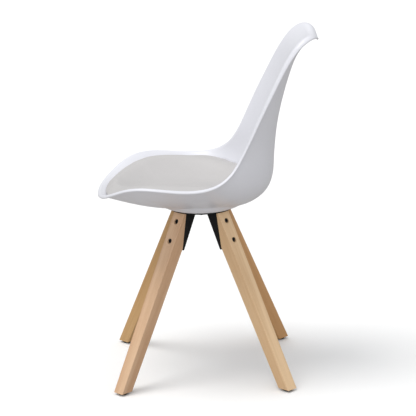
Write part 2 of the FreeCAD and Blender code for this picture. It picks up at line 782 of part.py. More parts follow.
def copies(label, places, make):
    """One sub-part of several alike: make builds each, and places sets them out."""
    pieces = []
    for k, place in enumerate(places, start=1):
        piece = make("%s_%d" % (label, k))
        piece.Placement = place
        pieces.append(piece)
    return group(label, pieces)


def seat_screw(name):
    grip = "(Sizes.spring_washer_thickness + Sizes.seat_washer_thickness + Sizes.plate_thickness)"
    length = f"{grip} + Sizes.insert_length - Sizes.seat_screw_short"
    return socket_screw(name, "Sizes.seat_screw_dia", length, "Sizes.seat_screw_head_dia",
                        "Sizes.seat_screw_head_height", "Sizes.seat_screw_socket")


def turned_down(place):
    return place * Placement(Vector(), Rotation(Vector(1, 0, 0), 180))


SEAT_BORE = "(Sizes.seat_screw_dia / 2 + Sizes.bolt_clearance)"


def spring_washer(name):
    ring = washer(name + "_ring", "Sizes.spring_washer_dia / 2", SEAT_BORE, "Sizes.spring_washer_thickness")
    slit = made("Part::Box", name + "_slit", Length="Sizes.spring_washer_dia",
                Width="Sizes.spring_washer_slit", Height="Sizes.spring_washer_thickness")
    return cut(name, ring, slit)


def flat_washer(name):
    return washer(name, "Sizes.seat_washer_dia / 2", SEAT_BORE, "Sizes.seat_washer_thickness")


def insert(name):
    bore = "Sizes.seat_screw_dia / 2 + Sizes.thread_gap"
    return washer(name, "Sizes.insert_dia / 2", bore, "Sizes.insert_length")


HEAD_DEPTH = "(Sizes.cushion_screw_head_dia - Sizes.cushion_screw_dia) / 2"
CUSHION_SCREW_LENGTH = "(Sizes.seat_floor + Sizes.soft_gap + Sizes.cover_thickness + Sizes.layer_gap"\
                       " + Sizes.board_thickness - Sizes.cushion_screw_short)"


def countersunk(name, head, shank):
    """A cone and a cylinder on one axis, with the wide end of the cone on z = 0."""
    cone = made("Part::Cone", name + "_cone", Radius1=head, Radius2=shank, Height=HEAD_DEPTH)
    return fuse(name, [cone, cylinder(name + "_stem", shank, CUSHION_SCREW_LENGTH)])


def cushion_screw(name):
    blank = countersunk(name + "_blank", "Sizes.cushion_screw_head_dia / 2", "Sizes.cushion_screw_dia / 2")
    key = hexagon(name + "_key", "Sizes.cushion_screw_socket", "Sizes.cushion_screw_socket_depth")
    return cut(name, blank, key)


def tnut(name):
    """A flanged nut: the barrel stands in the board and the flange lies in its top."""
    barrel = cylinder(name + "_barrel", "Sizes.tnut_barrel_dia / 2", "Sizes.board_thickness")
    flange = cylinder(name + "_flange", "Sizes.tnut_flange_dia / 2", "Sizes.tnut_flange_thickness")
    flange.setExpression("Placement.Base.z", "Sizes.board_thickness - Sizes.tnut_flange_thickness")
    bore_radius = "Sizes.cushion_screw_dia / 2 + Sizes.thread_gap"
    bore = cylinder(name + "_bore", bore_radius, "Sizes.board_thickness")
    return cut(name, fuse(name + "_blank", [barrel, flange]), bore)


def tnut_pocket(name):
    """The hole in the board that a flanged nut fills."""
    barrel = cylinder(name + "_barrel", "Sizes.tnut_barrel_dia / 2", "Sizes.board_thickness")
    flange = cylinder(name + "_flange", "Sizes.tnut_flange_dia / 2", "Sizes.board_thickness")
    flange.setExpression("Placement.Base.z", "Sizes.board_thickness - Sizes.tnut_flange_thickness")
    return fuse(name, [barrel, flange])


def insert_hole(name):
    return cylinder(name, "Sizes.insert_dia / 2", "Sizes.insert_length")


def cushion_screw_hole(name):
    head = "Sizes.cushion_screw_head_dia / 2 + Sizes.bolt_clearance / 2"
    shank = "Sizes.cushion_screw_dia / 2 + Sizes.bolt_clearance / 2"
    return countersunk(name, head, shank)


# ------------------------------------------------------------------------------ assembly
NODES = []
for corner_name, corner_angle in CORNERS.items():
    NODES.append(make_leg(corner_name, corner_angle))
    NODES.append(make_bracket(corner_name, corner_angle))
    NODES += make_leg_fasteners(corner_name, corner_angle)
    NODES.append(make_glide(corner_name, corner_angle))
NODES.append(make_glide_nails())
NODES.append(make_plate())

under_plate = PLATE_TOP - size("plate_thickness")
under_washer = under_plate - size("seat_washer_thickness")
under_spring = under_washer - size("spring_washer_thickness")
board_floor = FLOOR_TOP + ABOVE_HEM - size("wall")
NODES.append(copies("seat_screws", [turned_down(p) for p in seat_screw_places(under_spring)], seat_screw))
NODES.append(copies("seat_spring_washers", seat_screw_places(under_spring), spring_washer))
NODES.append(copies("seat_washers", seat_screw_places(under_washer), flat_washer))
NODES.append(copies("shell_inserts", seat_screw_places(PLATE_TOP), insert))
NODES.append(copies("cushion_screws", cushion_screw_places(PLATE_TOP), cushion_screw))
NODES.append(copies("cushion_tnuts", cushion_screw_places(board_floor), tnut))

shell_blank = shape_object("shell_blank", make_shell())
shell_holes = fuse("shell_holes", [
    copies("insert_holes", seat_screw_places(PLATE_TOP), insert_hole),
    copies("cushion_screw_holes", cushion_screw_places(PLATE_TOP), cushion_screw_hole)])
NODES.append(cut("seat_shell", shell_blank, shell_holes))

board_blank = shape_object("board_blank", make_board())
board_holes = copies("board_holes", cushion_screw_places(board_floor), tnut_pocket)
NODES.append(cut("cushion_board", board_blank, board_holes))
NODES.append(shape_object("cushion_foam", make_foam()))
NODES.append(shape_object("cushion_cover", make_cover()))

# ------------------------------------------------------------------------------ checks and export
doc.recompute()
for item in doc.Objects:
    if {"Invalid", "Error"} & set(item.State):
        raise RuntimeError("%s did not build: %s" % (item.Label, item.State))
for node in NODES:
    shape = node.Shape
    if shape.isNull() or not shape.isValid() or not shape.Solids:
        raise RuntimeError("%s has no valid solid" % node.Label)
    shape.exportStep("parts/" + node.Label + ".step")
    box = shape.BoundBox
    reach = (box.XMin, box.XMax, box.YMin, box.YMax, box.ZMin, box.ZMax)
    print("%-26s %2d solid(s) %10.1f mm3" % (node.Label, len(shape.Solids), shape.Volume),
          " x %7.1f..%7.1f  y %7.1f..%7.1f  z %6.1f..%6.1f" % reach)
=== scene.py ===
# %% [markdown]
# # A moulded dining chair
# One thin plastic bucket carries the sitter. It is screwed to a round black plate, and four splayed legs of
# pale wood are bolted to brackets under that plate. A pad covered in artificial leather lies in the bucket.
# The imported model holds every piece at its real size. This notebook keeps the pieces whose shape is already
# right, and builds finer ones for the plastic bucket, the pad and the screws. Units are metres.

import math

import bmesh
import bpy
import numpy as np
from mathutils import Matrix, Vector
from mathutils.bvhtree import BVHTree


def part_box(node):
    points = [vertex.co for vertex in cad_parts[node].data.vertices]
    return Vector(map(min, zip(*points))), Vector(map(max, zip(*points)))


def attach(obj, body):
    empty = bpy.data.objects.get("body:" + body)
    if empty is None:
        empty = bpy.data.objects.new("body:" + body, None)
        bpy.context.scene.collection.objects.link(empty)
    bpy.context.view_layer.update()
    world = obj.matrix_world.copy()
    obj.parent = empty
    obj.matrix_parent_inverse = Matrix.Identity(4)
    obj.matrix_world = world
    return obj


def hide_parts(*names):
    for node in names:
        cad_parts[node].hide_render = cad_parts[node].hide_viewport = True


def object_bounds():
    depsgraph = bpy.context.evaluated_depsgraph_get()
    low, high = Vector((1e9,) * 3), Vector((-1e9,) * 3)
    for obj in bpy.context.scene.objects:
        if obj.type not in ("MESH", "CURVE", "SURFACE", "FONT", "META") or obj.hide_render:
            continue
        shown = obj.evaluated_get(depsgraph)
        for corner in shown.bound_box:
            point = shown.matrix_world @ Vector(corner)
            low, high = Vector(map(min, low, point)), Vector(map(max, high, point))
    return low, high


MM = 0.001
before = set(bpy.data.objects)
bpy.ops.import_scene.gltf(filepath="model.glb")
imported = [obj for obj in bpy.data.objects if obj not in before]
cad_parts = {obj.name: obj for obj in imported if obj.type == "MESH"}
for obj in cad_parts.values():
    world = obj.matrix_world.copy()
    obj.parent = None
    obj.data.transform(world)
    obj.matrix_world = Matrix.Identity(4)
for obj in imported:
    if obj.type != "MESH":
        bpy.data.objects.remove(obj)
cad_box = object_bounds()
scene = bpy.context.scene
print("pieces in the frame:", len(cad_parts))

# %% [markdown]
# Everything above the plate is drawn from the middle of the plate's top face, so that point is read from the
# frame once. Sizes that the chair's maker would quote, such as a wall or a rim radius, are named where they
# are first used.

# %% The point that the seat is drawn from
plate_low, plate_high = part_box("mounting_plate")
hub = Vector((0, (plate_low.y + plate_high.y) / 2, plate_high.z))
plate_radius = (plate_high.x - plate_low.x) / 2
CORNER_ANGLES = {"front_left": -45, "rear_left": 45, "rear_right": 135, "front_right": 225}
print("hub at", [round(v, 4) for v in hub], "plate radius", round(plate_radius, 4))

# %% [markdown]
# A long lens keeps the legs' lines nearly parallel. The camera stands to the sitter's left, a little above
# the seat, and leans by about a degree. It is made first, so that every later step can be looked at.

# %% Camera
VIEW_AZIMUTH = math.radians(89.64)
VIEW_ELEVATION = math.radians(14.58)
VIEW_ROLL = math.radians(-1.21)
VIEW_DISTANCE = 4.78
VIEW_AIM = Vector((0, -0.0014, 0.4004))
LENS_LENGTH, SENSOR_WIDTH, FARTHEST = 171.04, 36, 100

backward = Vector((math.sin(VIEW_AZIMUTH) * math.cos(VIEW_ELEVATION),
                   -math.cos(VIEW_AZIMUTH) * math.cos(VIEW_ELEVATION), math.sin(VIEW_ELEVATION)))
level_right = (-backward).cross(Vector((0, 0, 1))).normalized()
level_up = backward.cross(level_right)
right = level_right * math.cos(VIEW_ROLL) + level_up * math.sin(VIEW_ROLL)
up = level_up * math.cos(VIEW_ROLL) - level_right * math.sin(VIEW_ROLL)
camera_data = bpy.data.cameras.new("studio_camera")
camera_data.lens = LENS_LENGTH
camera_data.sensor_width = SENSOR_WIDTH
camera_data.clip_end = FARTHEST
camera = bpy.data.objects.new("studio_camera", camera_data)
camera.matrix_world = Matrix((right, up, backward)).transposed().to_4x4()
camera.location = VIEW_AIM + backward * VIEW_DISTANCE
scene.collection.objects.link(camera)
scene.camera = camera
print("camera at", [round(v, 3) for v in camera.location])

# %% [markdown]
# The studio is a pale floor under a pale sky that is brighter overhead than at the horizon. A soft lamp stands
# high in front of the chair, and a softer one fills in from the sitter's left. White plastic shows its shape
# only by such gentle differences.

# %% Studio floor and light
SKY_LOW, SKY_HIGH = 0.46, 0.82
SKY_TINT = (0.97, 0.985, 1, 1)
HORIZON_DIP = -0.1
LAMPS = {
    # strength, spread in degrees, way from the chair to the lamp, colour
    "key": (1.35, 32, (0.12, -0.62, 1.6), (1, 0.985, 0.96)),
    "fill": (1.12, 60, (1, -0.12, 0.12), (1, 1, 1)),
}
FLOOR_HALF = 15.0


def emission_sky(low, high):
    """A sky that brightens from the horizon to straight overhead."""
    world = bpy.data.worlds.new("studio_sky")
    world.use_nodes = True
    nodes, links = world.node_tree.nodes, world.node_tree.links
    place = nodes.new("ShaderNodeTexCoord")
    height = nodes.new("ShaderNodeSeparateXYZ")
    grade = nodes.new("ShaderNodeMapRange")
    grade.inputs["From Min"].default_value = HORIZON_DIP
    grade.inputs["To Min"].default_value = low
    grade.inputs["To Max"].default_value = high
    links.new(place.outputs["Generated"], height.inputs[0])
    links.new(height.outputs["Z"], grade.inputs["Value"])
    links.new(grade.outputs["Result"], nodes["Background"].inputs["Strength"])
    nodes["Background"].inputs["Color"].default_value = SKY_TINT
    return world


def soft_sun(name, energy, spread, towards, colour):
    """A distant lamp, wide enough to give soft shadows. towards points from the chair to the lamp."""
    data = bpy.data.lights.new(name, "SUN")
    data.energy = energy
    data.angle = math.radians(spread)
    data.color = colour
    lamp = bpy.data.objects.new(name, data)
    lamp.rotation_euler = Vector(towards).to_track_quat("Z", "Y").to_euler()
    scene.collection.objects.link(lamp)


scene.world = emission_sky(SKY_LOW, SKY_HIGH)
scene.view_settings.view_transform = "Standard"
for lamp_name, lamp_settings in LAMPS.items():
    soft_sun(lamp_name, *lamp_settings)

floor_mesh = bpy.data.meshes.new("studio_floor")
floor_corners = [(x * FLOOR_HALF, y * FLOOR_HALF, 0) for x, y in ((-1, -1), (1, -1), (1, 1), (-1, 1))]
floor_mesh.from_pydata(floor_corners, [], [(0, 1, 2, 3)])
floor = bpy.data.objects.new("studio_floor", floor_mesh)
scene.collection.objects.link(floor)
floor.location.z = cad_box[0][2]
print("lamps:", len(LAMPS), "floor at", round(floor.location.z, 5))

# %% [markdown]
# Finishes on real things are never one flat colour. Three effects come up again and again here: a fine
# pebbled relief on plastic, paint and leather; a slow cloudiness from handling; and straight wood grain.
# Each is one node group with named inputs, built once.

# %% Helpers for node trees
class Tree:
    """Adds nodes to one node tree: add() makes a node, sets its properties, and wires its inputs."""

    def __init__(self, tree):
        self.tree = tree

    def add(self, kind, inputs=None, **properties):
        node = self.tree.nodes.new(kind)
        for name, value in properties.items():
            setattr(node, name, value)
        for key, value in (inputs or {}).items():
            if isinstance(value, bpy.types.NodeSocket):
                self.tree.links.new(value, node.inputs[key])
            else:
                node.inputs[key].default_value = value
        return node

    def link(self, source, target):
        self.tree.links.new(source, target)


MIX_COLOUR_A, MIX_COLOUR_B, MIX_COLOUR_OUT = 6, 7, 2


def mix_colours(tree, mask, first, second):
    """A colour between two others. The mix node keeps its colour sockets after those for numbers."""
    mix = tree.add("ShaderNodeMix", {"Factor": mask, MIX_COLOUR_A: first, MIX_COLOUR_B: second},
                   data_type="RGBA")
    return mix.outputs[MIX_COLOUR_OUT]


def add_input(group, label, kind, default):
    socket = group.interface.new_socket(label, in_out="INPUT", socket_type="NodeSocket" + kind)
    if default is not None:
        socket.default_value = default
    return socket


def shader_group(name, inputs, outputs):
    """An empty shader node group: its inputs are name to (kind, default), its outputs name to kind."""
    group = bpy.data.node_groups.new(name, "ShaderNodeTree")
    for label, (kind, default) in inputs.items():
        add_input(group, label, kind, default)
    for label, kind in outputs.items():
        group.interface.new_socket(label, in_out="OUTPUT", socket_type="NodeSocket" + kind)
    tree = Tree(group)
    return group, tree, tree.add("NodeGroupInput").outputs, tree.add("NodeGroupOutput").inputs


# %% Pebbled relief
NOISE_TO_CELLS = 2.6    # how much finer the noise is than the cells


def make_pebble_group():
    """Rounded cells over a finer noise, as on moulded plastic, powder coat and embossed leather."""
    group, tree, given, result = shader_group(
        "pebbled_relief",
        {"Place": ("Vector", None), "Cells per metre": ("Float", 900.0), "Cell share": ("Float", 0.6)},
        {"Height": "Float"})
    cells = tree.add("ShaderNodeTexVoronoi", {"Vector": given["Place"], "Scale": given["Cells per metre"]},
                     feature="SMOOTH_F1")
    finer = tree.add("ShaderNodeMath", {0: given["Cells per metre"], 1: NOISE_TO_CELLS}, operation="MULTIPLY")
    noise = tree.add("ShaderNodeTexNoise", {"Vector": given["Place"], "Scale": finer.outputs[0],
                                            "Detail": 3.0})
    mix = tree.add("ShaderNodeMix", {"Factor": given["Cell share"], "A": noise.outputs["Fac"],
                                     "B": cells.outputs["Distance"]})
    tree.link(mix.outputs["Result"], result["Height"])
    return group


PEBBLE = make_pebble_group()
print("made", PEBBLE.name)


# %% Cloudiness from handling
STREAKS_TO_PATCHES = 14.0    # how much closer the streaks lie than the patches


def make_handling_group():
    """A slow, uneven mask from 0 to 1, for the dull and shiny patches that hands and cloths leave."""
    group, tree, given, result = shader_group(
        "handling_marks",
        {"Place": ("Vector", None), "Patches per metre": ("Float", 9.0), "Streak": ("Float", 0.35)},
        {"Mask": "Float"})
    patches = tree.add("ShaderNodeTexNoise", {"Vector": given["Place"], "Scale": given["Patches per metre"],
                                              "Detail": 5.0, "Roughness": 0.62, "Distortion": 0.6})
    closer = tree.add("ShaderNodeMath", {0: given["Patches per metre"], 1: STREAKS_TO_PATCHES},
                      operation="MULTIPLY")
    streaks = tree.add("ShaderNodeTexNoise", {"Vector": given["Place"], "Scale": closer.outputs[0],
                                              "Detail": 2.0, "Distortion": 2.5})
    mix = tree.add("ShaderNodeMix", {"Factor": given["Streak"], "A": patches.outputs["Fac"],
                                     "B": streaks.outputs["Fac"]})
    spread = tree.add("ShaderNodeMapRange", {"Value": mix.outputs["Result"], "From Min": 0.3, "From Max": 0.7})
    tree.link(spread.outputs["Result"], result["Mask"])
    return group


HANDLING = make_handling_group()
print("made", HANDLING.name)


# %% Straight wood grain
BAND_SQUEEZE, FLECK_SQUEEZE = (1.0, 1.0, 0.045), (1.0, 1.0, 0.12)    # draws the patterns out along Z
STREAKS_PER_METRE, FLECKS_PER_METRE = 420.0, 1500.0
BAND_SHARE, STREAK_SHARE, FLECK_SHARE = 0.62, 0.3, 0.22


def make_grain_group():
    """Grain along Z: broad bands of growth, fine streaks and short dark flecks."""
    group, tree, given, result = shader_group(
        "straight_grain",
        {"Place": ("Vector", None), "Plank": ("Float", 0.0), "Pale": ("Color", (0.6, 0.4, 0.22, 1)),
         "Dark": ("Color", (0.4, 0.24, 0.12, 1)), "Bands per metre": ("Float", 38.0)},
        {"Colour": "Color", "Roughness": "Float", "Height": "Float"})
    drawn_out = tree.add("ShaderNodeVectorMath", {0: given["Place"], 1: BAND_SQUEEZE}, operation="MULTIPLY")
    bands = tree.add("ShaderNodeTexNoise", {"Vector": drawn_out.outputs[0], "W": given["Plank"],
                                            "Scale": given["Bands per metre"], "Detail": 2.0,
                                            "Distortion": 0.8}, noise_dimensions="4D")
    fine = tree.add("ShaderNodeTexNoise", {"Vector": drawn_out.outputs[0], "W": given["Plank"],
                                           "Scale": STREAKS_PER_METRE, "Detail": 4.0, "Roughness": 0.7},
                    noise_dimensions="4D")
    less_drawn = tree.add("ShaderNodeVectorMath", {0: given["Place"], 1: FLECK_SQUEEZE}, operation="MULTIPLY")
    fleck = tree.add("ShaderNodeTexNoise", {"Vector": less_drawn.outputs[0], "W": given["Plank"],
                                            "Scale": FLECKS_PER_METRE, "Detail": 1.0}, noise_dimensions="4D")

    def masked(noise, low, high):
        spread = tree.add("ShaderNodeMapRange", {"Value": noise.outputs["Fac"], "From Min": low,
                                                 "From Max": high})
        return spread.outputs["Result"]

    banded = tree.add("ShaderNodeMath", {0: masked(bands, 0.36, 0.66), 1: BAND_SHARE}, operation="MULTIPLY")
    streaked = tree.add("ShaderNodeMath", {0: masked(fine, 0.35, 0.75), 1: STREAK_SHARE, 2: banded.outputs[0]},
                        operation="MULTIPLY_ADD")
    flecked = tree.add("ShaderNodeMath", {0: masked(fleck, 0.6, 0.72), 1: FLECK_SHARE, 2: streaked.outputs[0]},
                       operation="MULTIPLY_ADD", use_clamp=True)
    colour = mix_colours(tree, flecked.outputs[0], given["Pale"], given["Dark"])
    rough = tree.add("ShaderNodeMapRange", {"Value": flecked.outputs[0], "To Min": 0.36, "To Max": 0.52})
    height = tree.add("ShaderNodeMath", {0: 1.0, 1: flecked.outputs[0]}, operation="SUBTRACT")
    tree.link(colour, result["Colour"])
    tree.link(rough.outputs["Result"], result["Roughness"])
    tree.link(height.outputs[0], result["Height"])
    return group


GRAIN = make_grain_group()
print("made", GRAIN.name)

# %% [markdown]
# A finish is a Principled shader with the groups feeding its colour, roughness and relief. What is the same
# all over, such as a coat's strength, is set on the shader itself. The patterns are placed by the object's own
# coordinates, which never slide, because each piece sits at the origin with its place in its mesh.

# %% Helpers that make a finish
def start_finish(name, **settings):
    """A material with its shader's constant settings, ready for patterns: (material, tree, shader, place)."""
    material = bpy.data.materials.new(name)
    material.use_nodes = True
    tree = Tree(material.node_tree)
    shader = material.node_tree.nodes["Principled BSDF"]
    for label, value in settings.items():
        shader.inputs[label.replace("_", " ")].default_value = value
    place = tree.add("ShaderNodeTexCoord").outputs["Object"]
    return material, tree, shader, place


def use_group(tree, group, **inputs):
    node = tree.add("ShaderNodeGroup", node_tree=group)
    for label, value in inputs.items():
        key = label.replace("_", " ")
        if isinstance(value, bpy.types.NodeSocket):
            tree.link(value, node.inputs[key])
        else:
            node.inputs[key].default_value = value
    return node


def relief(tree, shader, height, depth, strength=1.0):
    bump = tree.add("ShaderNodeBump", {"Height": height, "Distance": depth, "Strength": strength})
    tree.link(bump.outputs["Normal"], shader.inputs["Normal"])


def blend_colour(tree, shader, mask, first, second):
    tree.link(mix_colours(tree, mask, first, second), shader.inputs["Base Color"])


def blend_roughness(tree, shader, mask, low, high):
    spread = tree.add("ShaderNodeMapRange", {"Value": mask, "To Min": low, "To Max": high})
    tree.link(spread.outputs["Result"], shader.inputs["Roughness"])


# %% [markdown]
# The bucket is polypropylene from a polished tool: cool white, satin, with a very fine pebble. It is a little
# cloudy where it has been touched. The pad's artificial leather is warmer and duller, with a rounder grain.

# %% White plastic and artificial leather
def make_shell_finish():
    material, tree, shader, place = start_finish("white_moulded_plastic", IOR=1.49, Coat_Weight=0.12,
                                                 Coat_Roughness=0.2)
    clouds = use_group(tree, HANDLING, Place=place, Patches_per_metre=7.0, Streak=0.3)
    blend_colour(tree, shader, clouds.outputs["Mask"], (0.765, 0.77, 0.82, 1), (0.735, 0.74, 0.79, 1))
    blend_roughness(tree, shader, clouds.outputs["Mask"], low=0.3, high=0.42)
    pebble = use_group(tree, PEBBLE, Place=place, Cells_per_metre=1100.0, Cell_share=0.5)
    relief(tree, shader, pebble.outputs["Height"], depth=0.00008, strength=0.35)
    return material


def make_leather_finish():
    material, tree, shader, place = start_finish("pale_artificial_leather", IOR=1.48, Coat_Weight=0.05,
                                                 Coat_Roughness=0.4)
    clouds = use_group(tree, HANDLING, Place=place, Patches_per_metre=12.0, Streak=0.45)
    blend_colour(tree, shader, clouds.outputs["Mask"], (0.54, 0.525, 0.522, 1), (0.51, 0.497, 0.494, 1))
    blend_roughness(tree, shader, clouds.outputs["Mask"], low=0.46, high=0.6)
    pebble = use_group(tree, PEBBLE, Place=place, Cells_per_metre=620.0, Cell_share=0.75)
    relief(tree, shader, pebble.outputs["Height"], depth=0.0004, strength=0.5)
    return material


shell_finish = make_shell_finish()
leather_finish = make_leather_finish()
print("made", shell_finish.name, "and", leather_finish.name)


# %% [markdown]
# The steel plate and brackets are powder coated black, which leaves an orange-peel skin and a soft shine. The
# bolts are blackened steel, smoother and a little greyer. Washers, nuts and nails are zinc plated.

# %% Black and plated metal, brass and nylon
def make_plain_finish(name, first, second, rough, cells, depth, metal=0.0, shine=0.5):
    """A finish of two near colours with a fine relief, for paint, plating and nylon."""
    material, tree, shader, place = start_finish(name, Metallic=metal, Specular_IOR_Level=shine)
    clouds = use_group(tree, HANDLING, Place=place, Patches_per_metre=30.0, Streak=0.5)
    blend_colour(tree, shader, clouds.outputs["Mask"], (*first, 1), (*second, 1))
    blend_roughness(tree, shader, clouds.outputs["Mask"], *rough)
    pebble = use_group(tree, PEBBLE, Place=place, Cells_per_metre=cells, Cell_share=0.4)
    relief(tree, shader, pebble.outputs["Height"], depth, 0.6)
    return material


powder_coat = make_plain_finish("black_powder_coat", (0.004, 0.004, 0.0045), (0.009, 0.009, 0.010),
                                rough=(0.5, 0.66), cells=900.0, depth=0.0003, shine=0.2)
black_oxide = make_plain_finish("blackened_bolt_steel", (0.008, 0.008, 0.009), (0.02, 0.02, 0.022),
                                rough=(0.26, 0.42), cells=1600.0, depth=0.00005, metal=0.6)
zinc = make_plain_finish("zinc_plating", (0.58, 0.58, 0.56), (0.68, 0.68, 0.66),
                         rough=(0.28, 0.42), cells=1400.0, depth=0.00004, metal=1.0)
brass = make_plain_finish("turned_brass", (0.66, 0.47, 0.2), (0.74, 0.55, 0.27),
                          rough=(0.25, 0.38), cells=1400.0, depth=0.00004, metal=1.0)
nylon = make_plain_finish("black_nylon", (0.014, 0.014, 0.014), (0.03, 0.03, 0.03),
                          rough=(0.5, 0.66), cells=1300.0, depth=0.0002)
print("finishes so far:", len(bpy.data.materials))


# %% [markdown]
# Each leg is sawn from its own plank, and its grain runs down the leg. A mapping node turns the pattern to lie
# along that leg, and a plank number picks a different stretch of timber. Clear satin lacquer lies over it. The
# board inside the pad is dressed the same way, with its grain from front to back.

# %% Wood, one finish for each leg
LEG_SPLAY = math.radians(29.1)
PLANKS = {
    # plank number, pale growth, dark growth
    "front_left": (1.7, (0.72, 0.49, 0.31, 1), (0.54, 0.31, 0.17, 1)),
    "rear_left": (4.1, (0.84, 0.60, 0.36, 1), (0.65, 0.41, 0.215, 1)),
    "rear_right": (6.6, (0.72, 0.42, 0.19, 1), (0.54, 0.27, 0.095, 1)),
    "front_right": (9.2, (0.70, 0.45, 0.21, 1), (0.52, 0.285, 0.105, 1)),
}
BOARD_PLANK = (12.5, (0.60, 0.42, 0.25, 1), (0.45, 0.28, 0.15, 1))


def make_wood_finish(name, timber, turn, centre):
    """Lacquered wood whose grain runs along Z of the given turn."""
    plank, pale, dark = timber
    material, tree, shader, place = start_finish("lacquered_beech_" + name, IOR=1.5, Coat_Weight=0.25,
                                                 Coat_Roughness=0.22)
    along = tree.add("ShaderNodeMapping", {"Vector": place, "Location": centre, "Rotation": turn.to_euler()},
                     vector_type="TEXTURE")
    grain = use_group(tree, GRAIN, Place=along.outputs["Vector"], Plank=plank, Pale=pale, Dark=dark)
    tree.link(grain.outputs["Colour"], shader.inputs["Base Color"])
    tree.link(grain.outputs["Roughness"], shader.inputs["Roughness"])
    relief(tree, shader, grain.outputs["Height"], depth=0.0003, strength=0.35)
    return material


def dress(node, material):
    """Gives a piece that stays from the frame its finish."""
    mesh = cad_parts[node].data
    mesh.materials.clear()
    mesh.materials.append(material)


for corner, degrees in CORNER_ANGLES.items():
    turn = Matrix.Rotation(math.radians(degrees), 3, "Z") @ Matrix.Rotation(-LEG_SPLAY, 3, "Y")
    low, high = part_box("leg_" + corner)
    dress("leg_" + corner, make_wood_finish(corner, PLANKS[corner], turn, (low + high) / 2))
    dress("bracket_" + corner, powder_coat)
    dress("glide_" + corner, nylon)
    dress("leg_washers_" + corner, black_oxide)
    dress("leg_nuts_" + corner, zinc)
dress("mounting_plate", powder_coat)
dress("shell_inserts", brass)
for node in ("seat_spring_washers", "seat_washers", "cushion_screws", "cushion_tnuts", "glide_nails"):
    dress(node, zinc)
board_turn = Matrix.Rotation(math.radians(90), 3, "X")
dress("cushion_board", make_wood_finish("board", BOARD_PLANK, board_turn, hub))
print("dressed the legs, brackets, plate, board and small steel parts")

# %% [markdown]
# The bucket's outer face hangs on two rails that run from the front lip, under the seat and up the back: the
# keel on the middle plane, and the edge where the rim starts to roll outwards. Every cross-section climbs from
# keel to edge by one power curve. A handful of stations along the rails therefore sets the whole shape, and a
# cubic spline between them keeps it as smooth as a polished tool. Numbers are millimetres from the hub.

# %% The two rails
RAILS = np.array([
    # keel y, keel z, edge x, edge y, edge z, rim radius
    (-240.5, 40.5, 202, -239, 104, 2),        # front lip
    (-202, 27.3, 203.5, -201, 114, 2),
    (-162, 15.8, 205.5, -162, 108, 2),
    (-122, 8, 205.5, -122, 95, 2.2),
    (-81.5, 3.4, 205, -82, 85.5, 2.4),
    (-41, 1.5, 205, -43, 81.5, 2.8),
    (-0.5, 1, 203, -5, 81.5, 3),              # over the hub
    (40, 0.8, 196.5, 24, 85.5, 2.6),
    (80, 1.2, 187.5, 46.5, 93, 2.4),
    (117, 8.8, 176.5, 64, 103.5, 2.4),
    (150, 28.5, 165, 79, 117, 2.8),           # where the seat turns up into the back
    (169, 54, 156, 91, 134.5, 3.3),
    (177, 88, 150.5, 102, 153, 4),
    (178, 122.5, 148, 111.5, 172.5, 4.7),
    (181, 160.5, 147, 122.5, 196.5, 5.2),
    (186.5, 207, 144.5, 139, 234.5, 5.6),
    (197.5, 257, 139.5, 159, 276.5, 6),
    (210.5, 303, 133.5, 179.5, 318, 6),
    (222.5, 340, 125, 200, 359, 7),
    (236, 373.5, 114, 225, 398.5, 8),
    (264, 403.5, 102, 260, 430, 11),          # top of the back
]) * MM
LAST = len(RAILS) - 1
WALL_FULLNESS = 2.2    # the power by which a cross-section climbs
BEFORE, AFTER = 2 * RAILS[0] - RAILS[1], 2 * RAILS[-1] - RAILS[-2]
CONTROLS = np.vstack([BEFORE, RAILS, AFTER])
NEARBY_X, NEARBY_S = 0.05 * MM, 0.01    # steps for taking slopes


def rails(s):
    """The rail values at stations s, on a uniform cubic spline through the whole length."""
    s = np.clip(s, 0, LAST)
    i = np.minimum(s.astype(int), LAST - 1)
    f = (s - i)[:, None]
    weights = ((1 - f) ** 3, 3 * f ** 3 - 6 * f ** 2 + 4, -3 * f ** 3 + 3 * f ** 2 + 3 * f + 1, f ** 3)
    return sum(w * CONTROLS[i + k] for k, w in enumerate(weights)) / 6


def mould(s, x):
    """Points of the outer face at stations s and distances x from the middle."""
    keel_y, keel_z, edge_x, edge_y, edge_z, _ = rails(s).T
    climb = (np.abs(x) / edge_x) ** WALL_FULLNESS
    return np.stack([x, keel_y + (edge_y - keel_y) * climb, keel_z + (edge_z - keel_z) * climb], axis=1)


def unit(v):
    return v / np.linalg.norm(v, axis=1)[:, None]


def inward(s, x):
    """Unit normals of the outer face, pointing to the sitter."""
    across = mould(s, x + NEARBY_X) - mould(s, x - NEARBY_X)
    along = mould(np.minimum(s + NEARBY_S, LAST), x) - mould(np.maximum(s - NEARBY_S, 0), x)
    return unit(np.cross(across, along))


print("rails of", len(RAILS), "stations")

# %% [markdown]
# Seen flat, the bucket's outline is a rounded oblong. Spokes run from a circle round the hub to that outline,
# so that rings of points, like ripples, cover the bowl and the back in one piece. The same spokes carry the
# inner face, one wall's thickness inside. Over the plate the outer face flattens into a hub, and round it a
# skirt brings it back to the free shape.

# %% Spokes, outline and the flat hub
WALL = 4.5 * MM
FLOOR_LEVEL = 9 * MM
FLOOR_RADIUS = 48 * MM
FLOOR_FADE = 45 * MM
HUB_SKIRT = 24 * MM
FLAT_MARGIN = 2.5 * MM
CENTRE_RADIUS = 8 * MM                       # the innermost ring on the hub's axis
FRONT_ROUND, FRONT_SQUARENESS = 4.8, 2.4     # how many stations the front takes to reach full width
TOP_ROUND, TOP_SQUARENESS = 1.7, 5.0         # and the top of the back
SEAT_FROM, SEAT_TO = 1.0, 10.0               # stations that lie low down on the seat
HALVINGS = 40


def end_rounding(distance, span, squareness):
    """From 0 at an end to 1 one span away, along a rounded corner."""
    q = np.clip(distance / span, 0, 1)
    return (1 - (1 - q) ** squareness) ** (1 / squareness)


